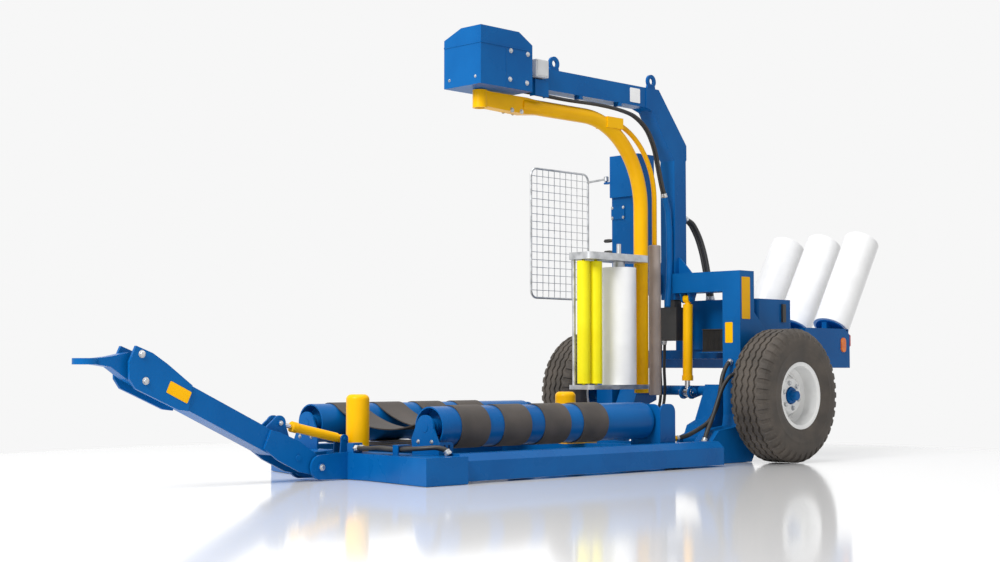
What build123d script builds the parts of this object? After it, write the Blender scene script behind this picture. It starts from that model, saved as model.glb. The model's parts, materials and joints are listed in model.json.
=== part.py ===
from build123d import *
import math
import os

os.makedirs("parts", exist_ok=True)

# Towed round bale wrapper, lowered to the ground as it parks.
# Millimetres, +X forward to the towing eye, +Y to the left, +Z up, ground at Z = 0.

# Wheels
tyre_od = 845
tyre_width = 290
rim_lip_d = 424
rim_seat_d = 388
rim_width = 252
track = 1620
spindle_d = 66
rib_groove_depth = 11
rib_groove_width = 13

# Stations forward of the wheel axle line
portal_station = 115
swing_pivot_station = 300
rear_beam_station = 970
hub_station = 1910
front_beam_station = 2800
drawbar_pivot_station = 3170
eye_station = 4522
rack_rear_station = -1146
rack_front_station = -610

# Clearances
seat_gap = 0.3
running_gap = 0.05
move_gap = 6

# Base frame
beam_height = 140
front_beam_depth = 190
front_beam_flare = 100
front_half_width = 830
front_centre_half = 270
side_beam_outer = 800
side_beam_inner = 680
side_beam_foot = 10
side_beam_top = 150
side_beam_rear_station = 620
rear_beam_depth = 140
rear_beam_height = 130
plate = 12

# Bale table
roller_d = 219
roller_wall = 8
roller_length = 1720
roller_half_spacing = 500
roller_z = 280
roller_recess = 70
journal_d = 50
belt_count = 4
belt_width = 210
belt_pitch = 320
belt_thickness = 6
belt_low_z = 250
first_belt_station = 1570
guide_d = 127
guide_height = 284
guide_crown = 28
guide_pin_d = 40
guide_offset = 200

# Portal and mast
post_inner = 470
post_width = 140
post_depth = 150
portal_top = 1220
cross_beam_height = 130
mast_width = 120
knee_z = 2080
boom_top = 2430
boom_depth = 130
boom_width = 110
knee_run = 300
head_front_station = 2055
head_rear_station = 1623
head_half_width = 156
head_bottom = 2245
head_top = 2590
eye_hole_d = 42
eye_lug_r = 44

# Swing axle
swing_pivot_z = 140
swing_pin_d = 50
swing_arm_inner = 280
swing_arm_outer = 436
pivot_beam_lead = 150
cross_tube_station = 62
cross_tube_z = 450
cross_tube_d = 64
lift_y = 150
lift_foot_station = 150
lift_foot_z = 437
lift_top_station = 140
lift_top_z = 1052
barrel_foot = 78
barrel_d = 64
rod_d = 36
pin_d = 30
foot_pin_d = 24
foot_hole_d = 52
ram_eye_gap = 1.5
hose_d = 20

# Drawbar
drawbar_pivot_z = 70
drawbar_slope = 25
drawbar_tube = 118
drawbar_head_station = 4120
drawbar_fork_station = 3500
drawbar_ear_station = 3394
drawbar_ear_z = 306
ram_base_station = 2957
ram_base_z = 212
ram_barrel_d = 50
ram_rod_d = 25
eye_z = 622
eye_ring_r = 60
eye_bore_d = 50
eye_thickness = 30

# Wrapping arm and film dispenser
arm_hub_d = 88
arm_tube_d = 94
arm_radius = 1470
arm_bend = 550
arm_top_z = 2190
arm_bottom_z = 435
film_radius = 1250
film_length = 750
film_d = 222
core_d = 76
film_bottom_z = 490
stretch_d = 82
stretch_radius = 910
stretch_pitch = 90
dispenser_half = 100
dispenser_plate = 45
dispenser_reach = 606
trip_radius = 1610
trip_bend = 480
trip_tube_d = 32
trip_sleeve_d = 80
trip_sleeve_length = 985

# Rack, tank and cabinet
rail_width = 80
rail_height = 120
rail_bottom = 600
rack_top = 870
sheet = 6
roll_d = 250
roll_lean = 33
roll_pitch = 320
roll_count = 3
roll_left_y = 400
roll_foot_station = -1150
roll_foot_z = 880
tank_top = 1050
cabinet_top = 2070
cabinet_y = -455
cabinet_width = 256
grille_y = -930
grille_bottom = 1085
grille_top = 1985
grille_length = 590
wire_d = 4

# The origin lies on the ground at the middle of the overall length
lean = math.radians(roll_lean)
roll_back_reach = film_length * math.sin(lean) + roll_d / 2 * math.cos(lean)
rear_reach = roll_foot_station - roll_back_reach
front_reach = eye_station + eye_ring_r
middle = (front_reach + rear_reach) / 2


def at(station):
    return station - middle


def finish(piece, name):
    piece.part.label = name
    export_step(piece.part, f"parts/{name}.step")


def side_plane(y):
    """Plane seen from the right-hand side: local x forward, local y up."""
    return Plane(origin=(0, y, 0), x_dir=(1, 0, 0), z_dir=(0, -1, 0))


def cross_plane(x):
    """Plane across the machine: local x to the left, local y up."""
    return Plane(origin=(x, 0, 0), x_dir=(0, 1, 0), z_dir=(1, 0, 0))


axle_x = at(0)
axle_z = tyre_od / 2
hub_x = at(hub_station)
portal_x = at(portal_station)

bearing_r = spindle_d / 2 + running_gap

# Wheels: tyre with four circumferential grooves, dished disc rim, bearing hub
for side, word in ((1, "left"), (-1, "right")):
    wheel_plane = Plane(origin=(axle_x, side * track / 2, axle_z), x_dir=(0, side, 0), z_dir=(1, 0, 0))
    half = tyre_width / 2
    with BuildPart() as tyre:
        with BuildSketch(wheel_plane):
            with BuildLine():
                crown = tyre_od / 2
                shoulder = crown - 22
                Polyline((-rim_width / 2, rim_lip_d / 2), (-half + 6, 262), (-half, 315))
                ThreePointArc((-half, 315), (-half + 4, 360), (-half + 22, shoulder))
                Polyline((-half + 22, shoulder), (-half + 46, crown - 4), (-half + 60, crown))
                Line((-half + 60, crown), (half - 60, crown))
                Polyline((half - 60, crown), (half - 46, crown - 4), (half - 22, shoulder))
                ThreePointArc((half - 22, shoulder), (half - 4, 360), (half, 315))
                Polyline((half, 315), (half - 6, 262), (rim_width / 2, rim_lip_d / 2))
                Polyline((rim_width / 2, rim_lip_d / 2), (rim_width / 2 - 14, rim_lip_d / 2))
                Polyline((rim_width / 2 - 14, rim_lip_d / 2), (rim_width / 2 - 14, rim_seat_d / 2 + seat_gap))
                Line((rim_width / 2 - 14, rim_seat_d / 2 + seat_gap), (14 - rim_width / 2, rim_seat_d / 2 + seat_gap))
                Polyline((14 - rim_width / 2, rim_seat_d / 2 + seat_gap), (14 - rim_width / 2, rim_lip_d / 2))
                Line((14 - rim_width / 2, rim_lip_d / 2), (-rim_width / 2, rim_lip_d / 2))
            make_face()
            with Locations(*[(w, crown - rib_groove_depth / 2) for w in (-69, -23, 23, 69)]):
                Rectangle(rib_groove_width, rib_groove_depth + 1, mode=Mode.SUBTRACT)
        revolve(axis=Axis((axle_x, 0, axle_z), (0, 1, 0)))
    finish(tyre, f"tyre_{word}")

    seat_r = rim_seat_d / 2
    well_r = seat_r - 26
    with BuildPart() as rim:
        with BuildSketch(wheel_plane):
            with BuildLine():
                Polyline(
                    (-rim_width / 2 - 1, rim_lip_d / 2 - seat_gap), (-rim_width / 2 + 13, rim_lip_d / 2 - seat_gap),
                    (-rim_width / 2 + 13, seat_r), (-70, seat_r), (-48, well_r), (-2, well_r), (22, seat_r),
                    (rim_width / 2 - 13, seat_r), (rim_width / 2 - 13, rim_lip_d / 2 - seat_gap),
                    (rim_width / 2 + 1, rim_lip_d / 2 - seat_gap), (rim_width / 2 + 1, rim_lip_d / 2 - 8),
                    (rim_width / 2 - 6, seat_r - 8), (26, seat_r - 8), (4, well_r - 8),
                    (2, 140), (42, 114), (50, 106), (50, 56), (41, 56), (41, 102), (-8, 138), (-8, well_r - 8),
                    (-50, well_r - 8), (-72, seat_r - 8), (-rim_width / 2 + 6, seat_r - 8),
                    (-rim_width / 2 - 1, rim_lip_d / 2 - 8), close=True)
            make_face()
        revolve(axis=Axis((axle_x, 0, axle_z), (0, 1, 0)))
        hole_plane = Plane(origin=(axle_x, side * track / 2, axle_z), x_dir=(1, 0, 0), z_dir=(0, side, 0))
        with BuildSketch(hole_plane.offset(-20)):
            with PolarLocations(124, 10):
                SlotCenterToCenter(14, 18, rotation=90)
        extrude(amount=60, mode=Mode.SUBTRACT)
    finish(rim, f"rim_{word}")

    with BuildPart() as hub:
        with BuildSketch(wheel_plane):
            with BuildLine():
                Polyline(
                    (-60, bearing_r), (34, bearing_r), (34, 0), (104, 0), (104, 22), (98, 30), (62, 34),
                    (62, 50), (40.7, 50), (40.7, 92), (26, 92), (26, 56), (-60, 56), close=True)
            make_face()
        revolve(axis=Axis((axle_x, 0, axle_z), (0, 1, 0)))
    finish(hub, f"hub_{word}")

# Swing axle: box arms and spindles on a cross tube, pivoted low on the pivot beam
pivot_x = at(swing_pivot_station)
tube_x = at(cross_tube_station)
lift_foot = (at(lift_foot_station), lift_foot_z)
lift_top = (at(lift_top_station), lift_top_z)
arm_box_mid = (swing_arm_inner + swing_arm_outer) / 2
with BuildPart() as swing_axle:
    for side in (1, -1):
        with BuildSketch(side_plane(side * arm_box_mid)):
            with BuildLine():
                Polyline((axle_x - 52, axle_z + 62), (tube_x + 70, axle_z + 68), (tube_x + 84, axle_z + 30),
                         (pivot_x - 60, 262), (pivot_x + 24, 232), (pivot_x + 58, 165), (pivot_x + 20, 86),
                         (pivot_x - 40, 92), (axle_x + 20, axle_z - 66), (axle_x - 52, axle_z - 42), close=True)
            make_face()
            with Locations((pivot_x, swing_pivot_z)):
                Circle(62)
                Circle(swing_pin_d / 2 + running_gap, mode=Mode.SUBTRACT)
        extrude(amount=(swing_arm_outer - swing_arm_inner) / 2, both=True)
        with BuildSketch(Plane(origin=(axle_x, side * (swing_arm_outer - 10), axle_z), z_dir=(0, side, 0))):
            Circle(spindle_d / 2)
        extrude(amount=track / 2 + 30 - swing_arm_outer + 10)
    with BuildSketch(side_plane(0)):
        with Locations((tube_x, cross_tube_z)):
            Circle(cross_tube_d / 2)
    extrude(amount=swing_arm_inner + 5, both=True)
    for y in (lift_y - 34, lift_y + 34):
        with BuildSketch(side_plane(y)):
            with BuildLine():
                Polyline((tube_x - 10, cross_tube_z + 31), (lift_foot[0], lift_foot_z + 42),
                         (lift_foot[0], lift_foot_z - 42), (tube_x - 10, cross_tube_z - 31), close=True)
            make_face()
            with Locations(lift_foot):
                Circle(42)
                Circle(foot_hole_d / 2, mode=Mode.SUBTRACT)
        extrude(amount=plate / 2, both=True)
finish(swing_axle, "swing_axle")

# Lift cylinder: barrel hung from the cross beam, rod eye on the swing axle's pin
lift_run = math.hypot(lift_top[0] - lift_foot[0], lift_top[1] - lift_foot[1])
lift_plane = Plane(
    origin=(lift_foot[0], lift_y, lift_foot[1]), x_dir=(0, 1, 0),
    z_dir=(lift_top[0] - lift_foot[0], 0, lift_top[1] - lift_foot[1]))


with BuildPart() as lift_barrel:
    with BuildSketch(lift_plane.offset(barrel_foot)):
        Circle(barrel_d / 2)
    extrude(amount=lift_run - barrel_foot - 36)
    with BuildSketch(lift_plane.offset(lift_run - 37)):
        Circle(20)
    extrude(amount=30)
    with BuildSketch(lift_plane.offset(barrel_foot)):
        Circle(barrel_d / 2 + 5)
    extrude(amount=34)
    with BuildSketch(side_plane(lift_y)):
        with Locations(lift_top):
            Circle(28)
    extrude(amount=22, both=True)
    with BuildSketch(side_plane(lift_y)):
        with Locations(lift_top):
            Circle(pin_d / 2 + running_gap)
    extrude(amount=22 + 20, both=True, mode=Mode.SUBTRACT)
    with BuildSketch(lift_plane.offset(barrel_foot - 1)):
        Circle(rod_d / 2 + running_gap)
    extrude(amount=lift_run - barrel_foot - 80, mode=Mode.SUBTRACT)
finish(lift_barrel, "lift_barrel")

with BuildPart() as lift_rod:
    with BuildSketch(lift_plane.offset(22)):
        Circle(rod_d / 2)
    extrude(amount=lift_run - 130)
    with BuildSketch(side_plane(lift_y)):
        with Locations(lift_foot):
            Circle(27)
    extrude(amount=24, both=True)
    with BuildSketch(side_plane(lift_y)):
        with Locations(lift_foot):
            Circle(foot_pin_d / 2)
    extrude(amount=52, both=True)
    for y in (lift_y - 47, lift_y + 47):
        with BuildSketch(side_plane(y)):
            with Locations(lift_foot):
                Circle(32)
        extrude(amount=4, both=True)
finish(lift_rod, "lift_rod")

# Pivot beam: low cross member whose plates carry the swing axle's pins
with BuildPart() as pivot_beam:
    with Locations((pivot_x + pivot_beam_lead, 0, 65)):
        Box(90, 2 * post_inner, 110)
    for side in (1, -1):
        for y in (swing_arm_inner - 14, swing_arm_outer + 14):
            with BuildSketch(side_plane(side * y)):
                with BuildLine():
                    Polyline((pivot_x, swing_pivot_z + 46), (pivot_x + 90, 160), (pivot_x + 110, 110),
                             (pivot_x + 110, 20), (pivot_x, swing_pivot_z - 46), close=True)
                make_face()
                with Locations((pivot_x, swing_pivot_z)):
                    Circle(46)
            extrude(amount=8, both=True)
        with BuildSketch(side_plane(side * arm_box_mid)):
            with Locations((pivot_x, swing_pivot_z)):
                Circle(swing_pin_d / 2)
        extrude(amount=(swing_arm_outer - swing_arm_inner) / 2 + 28, both=True)
finish(pivot_beam, "pivot_beam")

# Front beam with the drawbar lugs, ram bracket and roller feet
front_x = at(front_beam_station) + front_beam_depth
front_back_x = at(front_beam_station)
draw_x = at(drawbar_pivot_station)
ram_x = at(ram_base_station)
lug_y = drawbar_tube / 2 + 30
with BuildPart() as front_beam:
    with BuildSketch(Plane.XY):
        with BuildLine():
            Polyline((front_back_x, -side_beam_outer), (front_back_x + 20, -side_beam_outer),
                     (front_x, -front_centre_half), (front_x, front_centre_half),
                     (front_x + front_beam_flare, front_half_width), (front_back_x, front_half_width), close=True)
        make_face()
    extrude(amount=beam_height)
    for y in (-lug_y, lug_y):
        with BuildSketch(side_plane(y)):
            with BuildLine():
                Polyline((front_x - 60, 0), (draw_x + 10, 6), (draw_x + 10, 134), (front_x - 60, beam_height + 8),
                         close=True)
            make_face()
            with Locations((draw_x, drawbar_pivot_z)):
                Circle(64)
        extrude(amount=8, both=True)
    with BuildSketch(side_plane(0)):
        with Locations((draw_x, drawbar_pivot_z)):
            Circle(20)
    extrude(amount=lug_y + 18, both=True)
    for y in (-28, 28):
        with BuildSketch(side_plane(y)):
            with BuildLine():
                Polyline((ram_x - 30, beam_height - 5), (ram_x - 22, ram_base_z), (ram_x + 22, ram_base_z),
                         (ram_x + 30, beam_height - 5), close=True)
            make_face()
            with Locations((ram_x, ram_base_z)):
                Circle(24)
        extrude(amount=5, both=True)
    with BuildSketch(side_plane(0)):
        with Locations((ram_x, ram_base_z)):
            Circle(10)
    extrude(amount=38, both=True)
    with Locations((at(2953), 112, beam_height + 25)):
        Box(64, 50, 56)
    with Locations((at(2985), 480, beam_height + 24)):
        Box(8, 40, 56)
    with Locations((at(2943), 480, beam_height + 51)):
        Box(92, 40, 5)
finish(front_beam, "front_beam")

# Side beams: chamfered box beams along the ground
side_front_x = front_back_x
side_rear_x = at(side_beam_rear_station)
for side, word in ((1, "left"), (-1, "right")):
    with BuildPart() as side_beam:
        with BuildSketch(cross_plane(side_rear_x)):
            with BuildLine():
                Polyline((side * side_beam_inner, side_beam_foot), (side * side_beam_outer, side_beam_foot),
                         (side * side_beam_outer, side_beam_top - 36), (side * (side_beam_outer - 40), side_beam_top),
                         (side * side_beam_inner, side_beam_top), close=True)
            make_face()
        extrude(amount=side_front_x - side_rear_x)
    finish(side_beam, f"side_beam_{word}")

# Rear cross beam of the table, with the plates that carry the rollers
rear_beam_x = at(rear_beam_station)
roller_rear_x = at(hub_station) - roller_length / 2
roller_front_x = roller_rear_x + roller_length
journal_reach = 34
rear_plate_x = roller_rear_x - 20
with BuildPart() as rear_beam:
    with Locations((rear_beam_x, 0, rear_beam_height / 2)):
        Box(rear_beam_depth, 2 * side_beam_inner, rear_beam_height)
    for side in (1, -1):
        mid_y = side * (roller_half_spacing + 25)
        with BuildSketch(cross_plane(rear_plate_x - plate)):
            with Locations((mid_y, 225)):
                RectangleRounded(230, 310, 60)
            with Locations((side * roller_half_spacing, roller_z)):
                Circle(journal_d / 2 + running_gap, mode=Mode.SUBTRACT)
            with Locations((mid_y, 40)):
                Rectangle(260, 80, mode=Mode.SUBTRACT)
        extrude(amount=plate)
        flange_y = side * (roller_half_spacing + 134)
        with BuildSketch(side_plane(flange_y)):
            with Locations((rear_plate_x - plate - 60, 225)):
                RectangleRounded(140, 310, 50)
            with Locations((rear_plate_x - plate - 60, 40)):
                Rectangle(150, 80, mode=Mode.SUBTRACT)
        extrude(amount=plate / 2, both=True)
finish(rear_beam, "rear_beam")

# Front roller brackets: round bearing plate on a slotted foot
front_plate_x = roller_front_x + 20
for side, word in ((1, "left"), (-1, "right")):
    with BuildPart() as bracket:
        with BuildSketch(cross_plane(front_plate_x)):
            with Locations((side * roller_half_spacing, roller_z)):
                Circle(66)
            with BuildLine():
                Polyline((side * (roller_half_spacing - 62), roller_z + 22), (side * (roller_half_spacing - 104), roller_z - 60),
                         (side * (roller_half_spacing - 96), beam_height), (side * (roller_half_spacing + 110), beam_height),
                         (side * (roller_half_spacing + 106), beam_height + 58), (side * (roller_half_spacing + 64), roller_z),
                         close=True)
            make_face()
            with Locations((side * roller_half_spacing, roller_z)):
                Circle(journal_d / 2 + running_gap, mode=Mode.SUBTRACT)
        extrude(amount=plate)
        with BuildSketch(side_plane(side * (roller_half_spacing + 104))):
            with Locations((front_plate_x - 40, beam_height + 32)):
                RectangleRounded(104, 64, 18)
            with Locations((front_plate_x - 62, beam_height + 36), (front_plate_x - 30, beam_height + 36)):
                SlotOverall(30, 14, rotation=90, mode=Mode.SUBTRACT)
            with Locations((front_plate_x - 40, beam_height + 8)):
                Rectangle(104, 16)
        extrude(amount=plate / 2, both=True)
    finish(bracket, f"roller_bracket_{word}")

# Table rollers: open-ended steel tubes on journals
roller_r = roller_d / 2
for side, word in ((1, "left"), (-1, "right")):
    with BuildPart() as roller:
        with BuildSketch(Plane(origin=(hub_x, side * roller_half_spacing, roller_z), x_dir=(1, 0, 0), z_dir=(0, -1, 0))):
            half = roller_length / 2
            with BuildLine():
                Polyline((-half, roller_r - roller_wall), (-half, roller_r), (half, roller_r),
                         (half, roller_r - roller_wall), (half - roller_recess, roller_r - roller_wall),
                         (half - roller_recess, 46), (half - 20, 46), (half - 20, journal_d / 2),
                         (half + journal_reach, journal_d / 2), (half + journal_reach, 0),
                         (-half - journal_reach, 0), (-half - journal_reach, journal_d / 2),
                         (-half + 20, journal_d / 2), (-half + 20, 46), (-half + roller_recess, 46),
                         (-half + roller_recess, roller_r - roller_wall), close=True)
            make_face()
        revolve(axis=Axis((hub_x, side * roller_half_spacing, roller_z), (1, 0, 0)))
    finish(roller, f"table_roller_{word}")

# Belts: closed loops round both rollers, slack on top so that they cradle the bale
belt_r = roller_r + seat_gap
drop = roller_z - belt_low_z
sag_r = (roller_half_spacing ** 2 + drop ** 2 - belt_r ** 2) / (2 * (belt_r + drop))
sag_z = belt_low_z + sag_r
leave = math.atan2(sag_z - roller_z, roller_half_spacing)


def belt_loop(r, arc_r):
    """Draws one closed belt line: r round the rollers, arc_r for the slack run."""
    rise = r * math.sin(leave)
    inset = r * math.cos(leave)
    left = (roller_half_spacing - inset, roller_z + rise)
    right = (-roller_half_spacing + inset, roller_z + rise)
    wrap = (leave + math.pi / 2) / 2
    out_y = r * math.sin(wrap)
    out_z = r * math.cos(wrap)
    Line((-roller_half_spacing, roller_z - r), (roller_half_spacing, roller_z - r))
    ThreePointArc((roller_half_spacing, roller_z - r), (roller_half_spacing + r, roller_z), left)
    ThreePointArc(left, (0, sag_z - arc_r), right)
    ThreePointArc(right, (-roller_half_spacing - r, roller_z), (-roller_half_spacing, roller_z - r))


with BuildPart() as belts:
    for i in range(belt_count):
        centre = at(first_belt_station) + i * belt_pitch
        with BuildSketch(cross_plane(centre - belt_width / 2)):
            with BuildLine():
                belt_loop(belt_r + belt_thickness, sag_r - belt_thickness)
            make_face()
            with BuildLine():
                belt_loop(belt_r, sag_r)
            make_face(mode=Mode.SUBTRACT)
        extrude(amount=belt_width)
finish(belts, "belts")

# Portal sides: foot, sill and post, with a gusset plate behind the post
post_outer = post_inner + post_width
post_front = portal_x + post_depth / 2
post_back = portal_x - post_depth / 2
sill_front_x = rear_beam_x - rear_beam_depth / 2
for side, word in ((1, "left"), (-1, "right")):
    mid_y = side * (post_inner + post_width / 2)
    with BuildPart() as portal:
        with BuildSketch(side_plane(mid_y)):
            with BuildLine():
                Polyline((post_back, 60), (post_back + 40, 0), (sill_front_x, 0), (sill_front_x, rear_beam_height),
                         (at(500), rear_beam_height), (at(420), 205), (post_front + 12, 230), (post_front, 300),
                         (post_front, portal_top), (post_back, portal_top), close=True)
            make_face()
        extrude(amount=post_width / 2, both=True)
        with BuildSketch(side_plane(side * (post_outer - plate / 2))):
            with BuildLine():
                Polyline((post_back + 5, 960), (post_back - 240, 740), (post_back - 240, rail_bottom),
                         (post_back + 5, rail_bottom), close=True)
            make_face()
        extrude(amount=plate / 2, both=True)
    finish(portal, f"portal_{word}")

# Cross beam: one half each side of the mast, with the clevis of the lift cylinder below
mast_half = mast_width / 2
cross_beam_z = portal_top - cross_beam_height
with BuildPart() as cross_beam:
    for side in (1, -1):
        span = post_inner - mast_half
        with Locations((portal_x, side * (mast_half + span / 2), portal_top - cross_beam_height / 2)):
            Box(post_depth, span, cross_beam_height)
    for y in (lift_y - 34, lift_y + 34):
        with BuildSketch(side_plane(y)):
            with BuildLine():
                Polyline((lift_top[0] - 46, cross_beam_z + 4), (lift_top[0] - 26, lift_top_z),
                         (lift_top[0] + 26, lift_top_z), (lift_top[0] + 46, cross_beam_z + 4), close=True)
            make_face()
            with Locations(lift_top):
                Circle(27)
        extrude(amount=plate / 2, both=True)
    with BuildSketch(side_plane(lift_y)):
        with Locations(lift_top):
            Circle(pin_d / 2)
    extrude(amount=46, both=True)
finish(cross_beam, "cross_beam")

# Mast with its cranked head, and the boom that carries the motor housing
mast_back = post_back
mast_front = mast_back + mast_width
boom_bottom = boom_top - boom_depth
boom_start = at(450)
with BuildPart() as mast:
    with BuildSketch(side_plane(0)):
        with BuildLine():
            Polyline((mast_back, cross_beam_z - 40), (mast_front, cross_beam_z - 40), (mast_front, 1975),
                     (mast_front + 74, 2062), (boom_start - 66, 2282), (boom_start, boom_bottom),
                     (boom_start, boom_top), (mast_back + knee_run - 20, boom_top), (mast_back - 8, knee_z + 6),
                     (mast_back - 8, knee_z - 90), (mast_back, knee_z - 100), close=True)
        make_face()
    extrude(amount=mast_half, both=True)
    with BuildSketch(side_plane(0)):
        with BuildLine():
            Polyline((mast_back + 250, boom_top - 2), (mast_back + 262, boom_top + 62), (mast_back + 318, boom_top + 62),
                     (mast_back + 340, boom_top - 2), close=True)
        make_face()
        with Locations((mast_back + 290, boom_top + 62)):
            Circle(eye_lug_r)
            Circle(eye_hole_d / 2, mode=Mode.SUBTRACT)
    extrude(amount=8, both=True)
    for side in (1, -1):
        with BuildSketch(cross_plane(portal_x)):
            with BuildLine():
                Polyline((side * (mast_half - 2), portal_top), (side * (mast_half - 2), portal_top + 110),
                         (side * (mast_half + 8), portal_top + 110), (side * (mast_half + 110), portal_top), close=True)
            make_face()
        extrude(amount=6, both=True)
finish(mast, "mast")

head_rear = at(head_rear_station)
with BuildPart() as boom:
    with BuildSketch(side_plane(0)):
        with BuildLine():
            Polyline((boom_start, boom_bottom), (head_rear, boom_bottom), (head_rear, boom_top),
                     (boom_start, boom_top), close=True)
        make_face()
    extrude(amount=boom_width / 2, both=True)
    with BuildSketch(side_plane(0)):
        with BuildLine():
            Polyline((at(1225), boom_top - 2), (at(1240), boom_top + 50), (at(1300), boom_top + 50),
                     (at(1315), boom_top - 2), close=True)
        make_face()
        with Locations((at(1270), boom_top + 54)):
            Circle(eye_lug_r)
            Circle(eye_hole_d / 2, mode=Mode.SUBTRACT)
    extrude(amount=8, both=True)
    for station in (706, 1080):
        with Locations((at(station), 35, boom_bottom - 10)):
            Box(24, 50, 24)
finish(boom, "boom")

head_front = at(head_front_station)
shaft_d = 60
with BuildPart() as head_box:
    with BuildSketch(cross_plane(head_rear)):
        with BuildLine():
            Polyline((-head_half_width, head_bottom), (head_half_width, head_bottom), (head_half_width, head_top),
                     (-10, head_top), (-head_half_width, head_top - 56), close=True)
        make_face()
    extrude(amount=head_front - head_rear)
    with BuildSketch(side_plane(0)):
        with BuildLine():
            Polyline((head_rear - 1, head_top - 66), (head_rear + 116, head_top + 1), (head_rear - 1, head_top + 1),
                     close=True)
        make_face()
    extrude(amount=head_half_width + 1, both=True, mode=Mode.SUBTRACT)
    with BuildSketch(Plane.XY.offset(head_bottom + 1)):
        with Locations((hub_x, 0)):
            Circle(shaft_d / 2)
    extrude(amount=-96)
finish(head_box, "head_box")

# Wrapping arm: hub and plated beam, then a round tube bent down beside the bale
column_x = hub_x - arm_radius
hub_top = head_bottom - move_gap
hub_bottom = head_bottom - 112
tube_start = hub_x - 330
trip_x = hub_x - trip_radius
trip_box_x = column_x + 230
trip_box_z = 2166
beam_half = 38
with BuildPart() as arm:
    with BuildSketch(Plane.XY.offset(hub_bottom)):
        with Locations((hub_x, 0)):
            Circle(arm_hub_d / 2)
    extrude(amount=hub_top - hub_bottom)
    with BuildSketch(side_plane(0)):
        with BuildLine():
            Polyline((hub_x - 20, hub_bottom + 8), (hub_x - 20, hub_top - 4), (hub_x - 60, hub_top - 6),
                     (tube_start - 40, arm_top_z + 44), (tube_start - 180, arm_top_z + 30),
                     (tube_start - 180, arm_top_z - 40), (tube_start - 20, arm_top_z - 58), close=True)
        make_face()
    extrude(amount=beam_half, both=True)
    with BuildLine() as arm_line:
        FilletPolyline((tube_start, 0, arm_top_z), (column_x, 0, arm_top_z), (column_x, 0, arm_bottom_z), radius=arm_bend)
    with BuildSketch(Plane(origin=arm_line.line @ 0, z_dir=arm_line.line % 0)):
        Circle(arm_tube_d / 2)
    sweep()
    with Locations((trip_box_x + 75, 0, trip_box_z)):
        Box(150, 104, 70)
    with Locations((trip_box_x + 172, 22, trip_box_z + 12)):
        Box(60, 8, 26)
    with BuildSketch(Plane.XY.offset(hub_bottom - 1)):
        with Locations((hub_x, 0)):
            Circle(shaft_d / 2 + running_gap)
    extrude(amount=hub_top - hub_bottom + 2, mode=Mode.SUBTRACT)
finish(arm, "arm")

# Trip bar: thin tube outside the arm, ending in a padded sleeve
sleeve_top = arm_bottom_z - 15 + trip_sleeve_length
with BuildPart() as trip_bar:
    with BuildLine() as trip_line:
        FilletPolyline((trip_box_x - 5, 0, trip_box_z + 6), (trip_x, 0, trip_box_z - 96),
                       (trip_x, 0, arm_bottom_z), radius=trip_bend)
    with BuildSketch(Plane(origin=trip_line.line @ 0, z_dir=trip_line.line % 0)):
        Circle(trip_tube_d / 2)
    sweep()
finish(trip_bar, "trip_bar")

with BuildPart() as trip_sleeve:
    with BuildSketch(Plane.XY.offset(arm_bottom_z - 15)):
        with Locations((trip_x, 0)):
            Circle(trip_sleeve_d / 2)
            Circle(trip_tube_d / 2 + seat_gap, mode=Mode.SUBTRACT)
    extrude(amount=trip_sleeve_length)
    fillet(trip_sleeve.edges().filter_by(GeomType.CIRCLE).filter_by(lambda e: e.radius > 30), radius=6)
finish(trip_sleeve, "trip_sleeve")

# Film dispenser: two plates clamped to the arm, two stretch rollers and the film
film_x = hub_x - film_radius
film_top = film_bottom_z + film_length
plate_top_z = film_top + 38
inner_roller_x = hub_x - stretch_radius
outer_roller_x = inner_roller_x - 0.956 * stretch_pitch
outer_roller_y = 0.2934 * stretch_pitch
roller_spots = ((inner_roller_x, 0), (outer_roller_x, outer_roller_y))
plate_mid_x = column_x + dispenser_reach / 2


def dispenser_plate_outline():
    with Locations((plate_mid_x + 12, 0)):
        RectangleRounded(dispenser_reach - 24, 2 * dispenser_half, 36)
    with Locations((column_x, 0)):
        Circle(arm_tube_d / 2 + seat_gap, mode=Mode.SUBTRACT)
    with Locations(*roller_spots):
        Circle(10 + running_gap, mode=Mode.SUBTRACT)


cup_r = core_d / 2 - running_gap
post_x = column_x + dispenser_reach - 40
with BuildPart() as dispenser_top:
    with BuildSketch(Plane.XY.offset(plate_top_z)):
        dispenser_plate_outline()
    extrude(amount=dispenser_plate)
    with BuildSketch(Plane.XY.offset(plate_top_z + 1)):
        with Locations((film_x, 0)):
            Circle(cup_r)
    extrude(amount=-66)
    with BuildSketch(Plane.XY.offset(plate_top_z + dispenser_plate - 1)):
        with Locations((film_x, 0)):
            Circle(14)
    extrude(amount=72)
finish(dispenser_top, "dispenser_top")

base_plate_z = film_bottom_z - seat_gap - 28
with BuildPart() as dispenser_base:
    with BuildSketch(Plane.XY.offset(base_plate_z)):
        dispenser_plate_outline()
    extrude(amount=28)
    with BuildSketch(Plane.XY.offset(base_plate_z + 27)):
        with Locations((film_x, 0)):
            Circle(cup_r)
    extrude(amount=30)
    with BuildSketch(Plane.XY.offset(base_plate_z + 27)):
        with Locations((post_x, 24 - dispenser_half)):
            Circle(11)
    extrude(amount=plate_top_z - base_plate_z - 27)
finish(dispenser_base, "dispenser_base")

with BuildPart() as film_roll:
    with BuildSketch(Plane.XY.offset(film_bottom_z)):
        with Locations((film_x, 0)):
            Circle(film_d / 2)
            Circle(core_d / 2, mode=Mode.SUBTRACT)
    extrude(amount=film_length)
finish(film_roll, "film_roll")

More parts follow.
